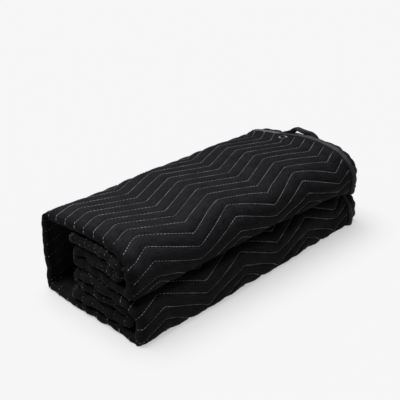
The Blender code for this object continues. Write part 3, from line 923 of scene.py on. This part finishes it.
def stitchTree():
    # resamples each seam at one stitch and a gap, and lays a long, thin ball along it at each point
    tree = bpy.data.node_groups.new("stitches along a seam", "GeometryNodeTree")
    face = tree.interface
    face.new_socket(name="Seams", in_out="INPUT", socket_type="NodeSocketGeometry")
    for name, value in (("Stitch length", 0.005), ("Gap", 0.001), ("Thread", 0.001), ("Least", 0.85)):
        socket = face.new_socket(name=name, in_out="INPUT", socket_type="NodeSocketFloat")
        socket.default_value = value
    seed = face.new_socket(name="Seed", in_out="INPUT", socket_type="NodeSocketInt")
    seed.default_value = 1
    face.new_socket(name="Material", in_out="INPUT", socket_type="NodeSocketMaterial")
    face.new_socket(name="Stitches", in_out="OUTPUT", socket_type="NodeSocketGeometry")
    given = tree.nodes.new("NodeGroupInput").outputs
    curve = addNode(tree, "GeometryNodeMeshToCurve", links={"Mesh": given["Seams"]})
    pitch = addNode(tree, "ShaderNodeMath", {"operation": "ADD"},
                    links={0: given["Stitch length"], 1: given["Gap"]})
    spaced = addNode(tree, "GeometryNodeResampleCurve", {"mode": "LENGTH"},
                     links={"Curve": curve.outputs["Curve"], "Length": pitch.outputs[0]})
    tangent = addNode(tree, "GeometryNodeInputTangent")
    turned = addNode(tree, "FunctionNodeAlignRotationToVector", {"axis": "X"},
                     links={"Vector": tangent.outputs["Tangent"]})
    halfLength = addNode(tree, "ShaderNodeMath", {"operation": "MULTIPLY"}, {1: 0.5},
                         {0: given["Stitch length"]})
    halfThread = addNode(tree, "ShaderNodeMath", {"operation": "MULTIPLY"}, {1: 0.5},
                         {0: given["Thread"]})
    size = addNode(tree, "ShaderNodeCombineXYZ", links={
        "X": halfLength.outputs[0], "Y": halfThread.outputs[0], "Z": halfThread.outputs[0]})
    ball = addNode(tree, "GeometryNodeMeshIcoSphere", values={"Radius": 1.0, "Subdivisions": 1})
    stitch = addNode(tree, "GeometryNodeTransform", links={
        "Geometry": ball.outputs["Mesh"], "Scale": size.outputs[0]})
    vary = addNode(tree, "FunctionNodeRandomValue", {"data_type": "FLOAT"},
                   {"Max": 1.1}, {"Seed": given["Seed"]})
    tree.links.new(given["Least"], next(put for put in vary.inputs if put.enabled and put.name == "Min"))
    placed = addNode(tree, "GeometryNodeInstanceOnPoints", links={
        "Points": spaced.outputs["Curve"], "Instance": stitch.outputs["Geometry"],
        "Rotation": turned.outputs["Rotation"]})
    tree.links.new(next(out for out in vary.outputs if out.enabled and out.type == "VALUE"),
                   placed.inputs["Scale"])
    real = addNode(tree, "GeometryNodeRealizeInstances", links={"Geometry": placed.outputs[0]})
    soft = addNode(tree, "GeometryNodeSetShadeSmooth", links={"Geometry": real.outputs[0]})
    done = addNode(tree, "GeometryNodeSetMaterial", links={
        "Geometry": soft.outputs[0], "Material": given["Material"]})
    addNode(tree, "NodeGroupOutput", links={"Stitches": done.outputs[0]})
    return tree


def sew(name, paths, tree, values, material):
    # runs the stitch tree along the paths and keeps the result as a plain mesh
    points, edges = [], []
    for path in paths:
        edges += [(len(points) + i, len(points) + i + 1) for i in range(len(path) - 1)]
        points += [tuple(point) for point in path]
    data = bpy.data.meshes.new(name + " seams")
    data.from_pydata(points, edges, [])
    guide = bpy.data.objects.new(name + " seams", data)
    bpy.context.scene.collection.objects.link(guide)
    modifier = guide.modifiers.new("stitches", "NODES")
    modifier.node_group = tree
    for item in tree.interface.items_tree:
        if item.in_out == "INPUT" and item.name in values:
            modifier[item.identifier] = values[item.name]
        elif item.name == "Material":
            modifier[item.identifier] = material
    bpy.context.view_layer.update()
    ready = guide.evaluated_get(bpy.context.evaluated_depsgraph_get())
    result = bpy.data.meshes.new_from_object(ready)
    bpy.data.objects.remove(guide)
    piece = bpy.data.objects.new(name, result)
    bpy.context.scene.collection.objects.link(piece)
    return piece


# Materials
# where the painted shade round the near end's turn is darkest, a little past the turn's middle
turnStops = [stop.along for stop in plyPath(columns["visible"]) if stop.ply == "turn"]
turnMiddle = mix(turnStops[0], turnStops[-1], 0.62)


def linear(code):
    # an sRGB hex value as linear red, green and blue
    parts = [int(code[i:i + 2], 16) / 255 for i in (1, 3, 5)]
    return tuple(c / 12.92 if c <= 0.04045 else ((c + 0.055) / 1.055) ** 2.4 for c in parts) + (1.0,)


def addNode(tree, kind, settings=(), values=(), links=()):
    # one node with its settings, its input values and the sockets that feed it
    node = tree.nodes.new(kind)
    for name, value in dict(settings).items():
        setattr(node, name, value)
    for name, value in dict(values).items():
        node.inputs[name].default_value = value
    for name, socket in dict(links).items():
        tree.links.new(socket, node.inputs[name])
    return node


def newMaterial(name, roughness, gloss=None):
    # a material with its node tree and its surface; a metal keeps the surface's own gloss
    material = bpy.data.materials.new(name)
    material.use_nodes = True
    tree = material.node_tree
    surface = tree.nodes["Principled BSDF"]
    surface.inputs["Roughness"].default_value = roughness
    if gloss is not None:
        surface.inputs["Specular IOR Level"].default_value = gloss
    return material, tree, surface


def dress(tree, surface, tone, relief=None):
    # 2 is a mix node's colour output; 6 and 7, further down, are its two colours
    tree.links.new(tone.outputs[2], surface.inputs["Base Color"])
    if relief:
        tree.links.new(relief.outputs["Normal"], surface.inputs["Normal"])


def blackCloth():
    # A tight weave of dull black yarn. The eye sees a faint mottle, short streaks along the yarns and a
    # soft sheen where it looks along the cloth. The yarns are 0.4 mm, too fine to show, so the speckle is
    # drawn at 2.6 mm and the streaks at 2 by 16 mm. The cloth is drawn lighter towards the near end, as
    # painted light, and darker round the near end, where the plies turn, as painted shade.
    material, tree, surface = newMaterial("black woven polyester", 0.75, 0.04)
    sewn = addNode(tree, "ShaderNodeUVMap", {"uv_map": "sewing"})
    mottle = addNode(tree, "ShaderNodeTexNoise", values={"Scale": 38.0, "Detail": 3.0}, links={
        "Vector": sewn.outputs["UV"]})
    speckle = addNode(tree, "ShaderNodeTexNoise", values={"Scale": 380.0, "Detail": 1.0}, links={
        "Vector": sewn.outputs["UV"]})
    drawn = addNode(tree, "ShaderNodeMapping", values={"Scale": (62.0, 480.0, 1.0)}, links={
        "Vector": sewn.outputs["UV"]})
    streaks = addNode(tree, "ShaderNodeTexNoise", values={"Scale": 1.0, "Detail": 1.0}, links={
        "Vector": drawn.outputs["Vector"]})
    fine = addNode(tree, "ShaderNodeMath", {"operation": "ADD"}, links={
        0: speckle.outputs["Fac"], 1: streaks.outputs["Fac"]})
    place = addNode(tree, "ShaderNodeSeparateXYZ", links={0: sewn.outputs["UV"]})
    # painted light: the cloth is drawn lighter the further it runs from the bound edge, so the top is
    # lighter towards the near end
    paintedNearLight = addNode(tree, "ShaderNodeMath", {"operation": "MULTIPLY_ADD"}, {1: 0.45, 2: -0.14}, {
        0: place.outputs["X"]})
    woven = addNode(tree, "ShaderNodeMath", {"operation": "MULTIPLY_ADD"}, {1: 0.5}, {
        0: mottle.outputs["Fac"], 2: fine.outputs[0]})
    mixed = addNode(tree, "ShaderNodeMath", {"operation": "ADD"}, links={
        0: woven.outputs[0], 1: paintedNearLight.outputs[0]})
    share = addNode(tree, "ShaderNodeMapRange", values={"From Min": 0.90, "From Max": 1.65}, links={
        "Value": mixed.outputs[0]})
    tone = addNode(tree, "ShaderNodeMix", {"data_type": "RGBA"},
                   {6: linear("#060607"), 7: linear("#1f1f21")}, {0: share.outputs["Result"]})
    # painted shade: the cloth is mixed towards near black within about 19 mm of the middle of the near
    # end's turn
    away = addNode(tree, "ShaderNodeMath", {"operation": "SUBTRACT"}, {1: turnMiddle}, {
        0: place.outputs["X"]})
    apart = addNode(tree, "ShaderNodeMath", {"operation": "ABSOLUTE"}, links={0: away.outputs[0]})
    shade = addNode(tree, "ShaderNodeMapRange", {"interpolation_type": "SMOOTHSTEP"}, {
        "From Min": 0.010, "From Max": 0.019, "To Min": 0.55, "To Max": 0.0}, {"Value": apart.outputs[0]})
    dressed = addNode(tree, "ShaderNodeMix", {"data_type": "RGBA"}, {7: linear("#050506")}, {
        0: shade.outputs["Result"], 6: tone.outputs[2]})
    relief = addNode(tree, "ShaderNodeBump", values={"Strength": 0.45, "Distance": 0.0012}, links={
        "Height": fine.outputs[0]})
    dress(tree, surface, dressed, relief)
    surface.inputs["Sheen Weight"].default_value = 0.05
    surface.inputs["Sheen Roughness"].default_value = 0.2
    return material


def blackBacking():
    # The cloth's other face: deep black felted fibre without a direction, which gives the eye almost
    # nothing. Its fibres are too fine to show and are drawn at 4 mm.
    material, tree, surface = newMaterial("black non-woven backing", 0.9, 0.03)
    sewn = addNode(tree, "ShaderNodeUVMap", {"uv_map": "sewing"})
    felt = addNode(tree, "ShaderNodeTexNoise", values={"Scale": 260.0, "Detail": 3.0}, links={
        "Vector": sewn.outputs["UV"]})
    tone = addNode(tree, "ShaderNodeMix", {"data_type": "RGBA"},
                   {6: linear("#08080a"), 7: linear("#1c1c1e")}, {0: felt.outputs["Fac"]})
    relief = addNode(tree, "ShaderNodeBump", values={"Strength": 0.3, "Distance": 0.0008}, links={
        "Height": felt.outputs["Fac"]})
    dress(tree, surface, tone, relief)
    return material


def blackTape():
    # Woven tape: ribs across it with a slight gloss. Where the edge stands up, a painted highlight draws it
    # pale grey.
    # The ribs are 0.8 mm and drawn at 3 mm.
    material, tree, surface = newMaterial("black polypropylene tape", 0.6, 0.1)
    place = addNode(tree, "ShaderNodeUVMap", {"uv_map": "tape"})
    drawn = addNode(tree, "ShaderNodeMapping", values={"Scale": (3.0, 330.0, 1.0)}, links={
        "Vector": place.outputs["UV"]})
    ribs = addNode(tree, "ShaderNodeTexNoise", values={"Scale": 1.0, "Detail": 1.0}, links={
        "Vector": drawn.outputs["Vector"]})
    share = addNode(tree, "ShaderNodeMapRange", values={"From Min": 0.3, "From Max": 0.7}, links={
        "Value": ribs.outputs["Fac"]})
    dark = addNode(tree, "ShaderNodeMix", {"data_type": "RGBA"},
                   {6: linear("#0a0a0c"), 7: linear("#19191b")}, {0: share.outputs["Result"]})
    # painted highlight: the pale tone stands in for light caught on the raised ridge
    pale = addNode(tree, "ShaderNodeMix", {"data_type": "RGBA"},
                   {6: linear("#303034"), 7: linear("#5a5a5f")}, {0: share.outputs["Result"]})
    paintedHighlight = addNode(tree, "ShaderNodeAttribute", {"attribute_name": "paintedHighlight"})
    tone = addNode(tree, "ShaderNodeMix", {"data_type": "RGBA"},
                   links={0: paintedHighlight.outputs["Fac"], 6: dark.outputs[2], 7: pale.outputs[2]})
    relief = addNode(tree, "ShaderNodeBump", values={"Strength": 0.4, "Distance": 0.0008}, links={
        "Height": ribs.outputs["Fac"]})
    dress(tree, surface, tone, relief)
    return material


def greyThread():
    # Spun sewing thread: matt grey, a little lighter and darker along the row in random patches, painted
    # shade for its sinking into the padding
    material, tree, surface = newMaterial("grey spun polyester thread", 0.8, 0.2)
    place = addNode(tree, "ShaderNodeTexCoord")
    change = addNode(tree, "ShaderNodeTexNoise", values={"Scale": 60.0, "Detail": 2.0}, links={
        "Vector": place.outputs["Object"]})
    share = addNode(tree, "ShaderNodeMapRange", values={"From Min": 0.35, "From Max": 0.65}, links={
        "Value": change.outputs["Fac"]})
    tone = addNode(tree, "ShaderNodeMix", {"data_type": "RGBA"},
                   {6: linear("#5c5c5f"), 7: linear("#8d8d91")}, {0: share.outputs["Result"]})
    dress(tree, surface, tone)
    return material


def nickel():
    # Nickel plating that has dulled in use: cloudy and grey, with a painted highlight at the two sides of
    # the ring that the camera sees left and right
    material, tree, surface = newMaterial("nickel-plated brass", 0.5)
    place = addNode(tree, "ShaderNodeTexCoord")
    cloud = addNode(tree, "ShaderNodeTexNoise", values={"Scale": 400.0, "Detail": 2.0}, links={
        "Vector": place.outputs["Object"]})
    dull = addNode(tree, "ShaderNodeMapRange", values={"To Min": 0.42, "To Max": 0.58}, links={
        "Value": cloud.outputs["Fac"]})
    grey = addNode(tree, "ShaderNodeMix", {"data_type": "RGBA"},
                   {6: linear("#1c1c1d"), 7: linear("#3a3a3b")}, {0: cloud.outputs["Fac"]})
    # painted highlight: the ring is painted bright where the glint attribute is high
    paintedGlint = addNode(tree, "ShaderNodeAttribute", {"attribute_name": "paintedGlint"})
    tone = addNode(tree, "ShaderNodeMix", {"data_type": "RGBA"}, {7: linear("#a3a29f")}, {
        0: paintedGlint.outputs["Fac"], 6: grey.outputs[2]})
    dress(tree, surface, tone)
    tree.links.new(dull.outputs["Result"], surface.inputs["Roughness"])
    surface.inputs["Metallic"].default_value = 1.0
    return material


clothMaterial = blackCloth()
backingMaterial = blackBacking()
tapeMaterial = blackTape()
threadMaterial = greyThread()
nickelMaterial = nickel()


# Floor, light and camera
studio = {
    "size": 60.0,
    "level": -0.0002,
    "floor": "#818181",
    "glow": 0.50,                   # the sweep is lit from below, so that little shadow lies on it
    "world": 0.10,
    "sun": 6.05,
    "sunSpread": 50.0,              # degrees, so that its light is soft
    "tilt": (-17.0, -3.0),          # degrees
    "position": (-0.87773, -0.80820, 0.6748),
    "look": (0.6518, 0.6268, -0.4268),
    "focal": 683 / 400 * 36.0,      # focal length of the photograph's frame, on a 36 mm sensor
}


def dressStudio():
    scene = bpy.context.scene
    scene.view_settings.view_transform = "Standard"
    world = bpy.data.worlds.new("studio")
    world.use_nodes = True
    world.node_tree.nodes["Background"].inputs["Color"].default_value = (1.0, 1.0, 1.0, 1.0)
    world.node_tree.nodes["Background"].inputs["Strength"].default_value = studio["world"]
    scene.world = world
    bpy.ops.mesh.primitive_plane_add(size=studio["size"], location=(0.0, 0.0, studio["level"]))
    floor = bpy.context.object
    floor.name = "floor"
    material, _, surface = newMaterial("pale paper sweep", 0.9, 0.0)
    surface.inputs["Base Color"].default_value = linear(studio["floor"])
    surface.inputs["Emission Color"].default_value = (1.0, 1.0, 1.0, 1.0)
    surface.inputs["Emission Strength"].default_value = studio["glow"]
    floor.data.materials.append(material)
    lamp = bpy.data.lights.new("overhead", "SUN")
    lamp.energy = studio["sun"]
    lamp.angle = math.radians(studio["sunSpread"])
    light = bpy.data.objects.new("overhead", lamp)
    light.rotation_euler = [math.radians(angle) for angle in (*studio["tilt"], 0.0)]
    scene.collection.objects.link(light)
    camera = bpy.data.cameras.new("camera")
    camera.lens = studio["focal"]
    camera.sensor_width = 36.0
    camera.clip_end = 200.0
    eye = bpy.data.objects.new("camera", camera)
    eye.location = Vector(studio["position"]) + shift
    eye.rotation_euler = Vector(studio["look"]).to_track_quat("-Z", "Y").to_euler()
    scene.collection.objects.link(eye)
    scene.camera = eye


low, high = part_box("eyelet")
packed = (low + high) / 2
own = eyeletFrame()[0]
shift = Vector((packed.x - own.x, packed.y - own.y, 0.0))
print("shift from the frame:", tuple(round(value, 6) for value in shift))

dressStudio()
print("studio: floor, light and camera are in place")

sheet = blanketSheet()
sheet.data.materials.append(clothMaterial)
sheet.data.materials.append(backingMaterial)
punchHole(sheet)
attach(sheet, "root")
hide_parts("blanket", "eyelet_band")
print("blanket:", len(sheet.data.polygons), "faces")

lastStop = plyPath((2, 2, 2, 2, 2, 2, 2))[-1]
edgeTape = endBinding("edgeTape", "outer", boundEdge, 0.0, 1.0, tape["cover"])
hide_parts("edge_binding")
coreTape = endBinding("coreTape", "core", lastStop.x, lastStop.along, -1.0, tape["coreCover"])
startTape = sideBinding("startTape", True)
endTape = sideBinding("endTape", False)
for piece, cover, run in ((edgeTape, "cover", 80), (coreTape, "coreCover", 80),
                          (startTape, "coreCover", 96), (endTape, "coreCover", 96)):
    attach(piece, "root")
print("binding: four tapes")

ring = eyeletRing()
ring.data.materials.append(nickelMaterial)
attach(ring, "root")
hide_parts("eyelet")
strap = hangingLoop()
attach(strap, "root")
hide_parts("hanging_loop")
print("eyelet and loop are on")

shown, foldedIn = seamPaths()
tree = stitchTree()
for name, paths, kind in (("seamStitches", shown, "outside"), ("endStitches", foldedIn, "foldedIn")):
    stitch, gap, thread, least = stitching[kind]
    threads = sew(name, paths, tree, {"Stitch length": stitch, "Gap": gap, "Thread": thread,
                                      "Least": least, "Seed": stitching["seed"]}, threadMaterial)
    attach(threads, "root")
    print(name + ":", len(threads.data.polygons), "faces")
